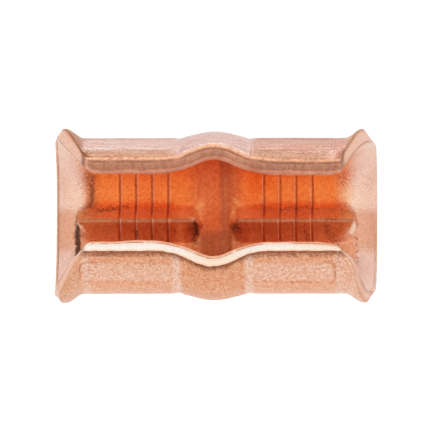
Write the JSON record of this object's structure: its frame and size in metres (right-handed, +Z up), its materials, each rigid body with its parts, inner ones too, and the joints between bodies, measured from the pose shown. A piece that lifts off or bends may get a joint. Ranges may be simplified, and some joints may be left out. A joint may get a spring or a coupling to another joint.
{
  "type": "c-tap connector",
  "caption": "Copper C-shaped tap connector with flared ends, a bulged waist, serrated lobes and a mouth that takes a run and a tap conductor before it is crimped shut.",
  "frame": {"origin": "on the resting surface, under the middle of the connector, which lies on its back", "axes": "+X along the conductors, +Y from one lobe to the other, +Z up out of the mouth"},
  "size_m": [0.03, 0.0162, 0.0119],
  "materials": {
    "copper": "satin bare copper, tumbled"
  },
  "bodies": {
    "root": {"connector_body": "copper"}
  },
  "joints": []
}
